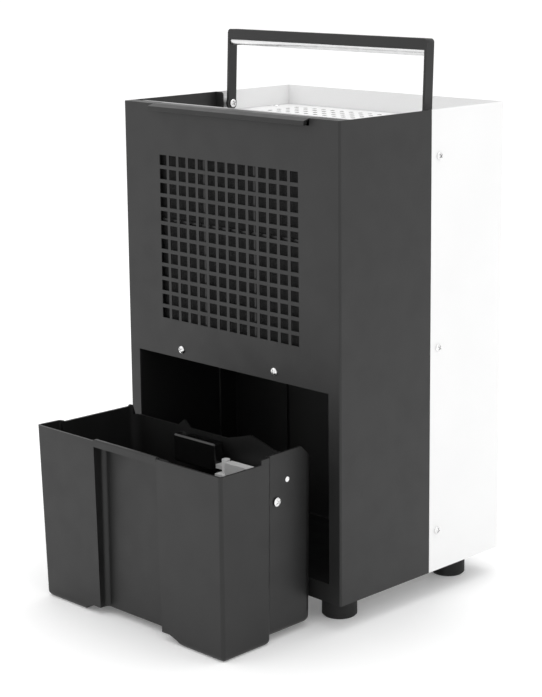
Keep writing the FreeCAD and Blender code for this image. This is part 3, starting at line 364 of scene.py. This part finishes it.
def bars(name, spots, material, body):
    """Small raised bars with broken edges: (centre, size, turn about Y in degrees)."""
    made = bmesh.new()
    for centre, size, turn in spots:
        place = Matrix.Translation(Vector(centre) * MM) @ Matrix.Rotation(math.radians(turn), 4, "Y")
        stretch = Matrix.Diagonal((*(v * MM for v in size), 1.0))
        shape = bmesh.ops.create_cube(made, size=1.0, matrix=place @ stretch)
        rims = {edge for vert in shape["verts"] for edge in vert.link_edges}
        bmesh.ops.bevel(made, geom=list(rims), offset=0.12 * MM, segments=2, affect="EDGES", profile=0.6)
    return piece(name, made, material, body, smooth=False)


def dial():
    """Graduations round the dial, and a pointer and finger ribs on the knob."""
    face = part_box("control_panel")[1][1] / MM
    (x0, _, z0), (x1, outer, z1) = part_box("humidity_knob")
    x, z, radius = (x0 + x1) / 2 / MM, (z0 + z1) / 2 / MM, (x1 - x0) / 2 / MM
    ticks, ribs = [], []
    for i in range(11):
        angle = math.radians(-135 + 27 * i)
        long = 3.2 if i % 5 == 0 else 2.0
        out = radius + 2.2 + long / 2
        spot = (x + out * math.sin(angle), face + 0.1, z + out * math.cos(angle))
        ticks.append((spot, (0.7, 0.5, long), math.degrees(angle)))
    bars("dial_graduations", ticks, "grey_plastic", "cabinet")
    for i in range(24):
        angle = 2 * math.pi * (i + 0.5) / 24
        out = radius - 0.55
        spot = (x + out * math.sin(angle), outer / MM - 7.2, z + out * math.cos(angle))
        ribs.append((spot, (1.3, 8.0, 1.5), math.degrees(angle)))
    bars("knob_ribs", ribs, "black_plastic", "knob")
    pointer = ((x, outer / MM, z + radius * 0.55), (1.3, 0.6, radius * 0.5), 0.0)
    bars("knob_pointer", [pointer], "grey_plastic", "knob")


dial()


# ---------------------------------------------------------------- floor, light and camera

def floor():
    """A pale floor that glows a little, so that it meets the white background without a line."""
    bpy.ops.mesh.primitive_plane_add(size=80.0, location=(0.0, 0.0, 0.0))
    ground = bpy.context.object
    ground.name = "studio_floor"
    m = Nodes("studio_floor")
    m.set(Base_Color=m.mix(m.noise(3.0), grey(0.93), grey(0.95)), Roughness=0.8, Specular_IOR_Level=0.2)
    m.set(Emission_Color=(1.0, 1.0, 1.0, 1.0), Emission_Strength=0.12)
    ground.data.materials.append(m.material)


def area_light(name, place, aim, size, power):
    data = bpy.data.lights.new(name, "AREA")
    data.shape = "RECTANGLE"
    data.size, data.size_y = size
    data.energy = power
    lamp = bpy.data.objects.new(name, data)
    scene.collection.objects.link(lamp)
    lamp.location = place
    lamp.rotation_mode = "QUATERNION"
    lamp.rotation_quaternion = (Vector(aim) - Vector(place)).to_track_quat("-Z", "Y")


def studio():
    floor()
    world = bpy.data.worlds.new("studio")
    scene.world = world
    world.use_nodes = True
    world.node_tree.nodes["Background"].inputs["Color"].default_value = (1.0, 1.0, 1.0, 1.0)
    world.node_tree.nodes["Background"].inputs["Strength"].default_value = 1.0
    area_light("key", (-1.6, -2.2, 2.4), (0.0, 0.0, 0.25), (2.2, 2.2), 10.0)
    area_light("fill", (3.0, -0.8, 1.4), (0.0, 0.0, 0.25), (2.0, 2.4), 5.0)
    area_light("top", (0.2, 0.4, 3.0), (0.0, 0.0, 0.3), (2.5, 2.5), 20.0)
    scene.view_settings.view_transform = "Standard"


CAMERA = {"place": (1.2642, -1.2375, 0.6618), "azimuth": 45.63, "elevation": 10.91, "roll": -0.60,
          "lens": 93.6, "shift": -0.11}


def camera():
    """The photograph's viewing angle; azimuth 0 looks along +Y."""
    data = bpy.data.cameras.new("camera")
    data.lens = CAMERA["lens"]
    data.shift_y = CAMERA["shift"]
    data.clip_start, data.clip_end = 0.05, 50.0
    eye = bpy.data.objects.new("camera", data)
    scene.collection.objects.link(eye)
    azimuth, elevation = math.radians(CAMERA["azimuth"]), math.radians(CAMERA["elevation"])
    eye.rotation_mode = "QUATERNION"
    ahead = Vector((-math.sin(azimuth) * math.cos(elevation), math.cos(azimuth) * math.cos(elevation),
                    -math.sin(elevation)))
    level = ahead.to_track_quat("-Z", "Y")
    eye.rotation_quaternion = level @ Matrix.Rotation(math.radians(CAMERA["roll"]), 3, "Z").to_quaternion()
    eye.location = CAMERA["place"]
    scene.camera = eye


studio()
camera()
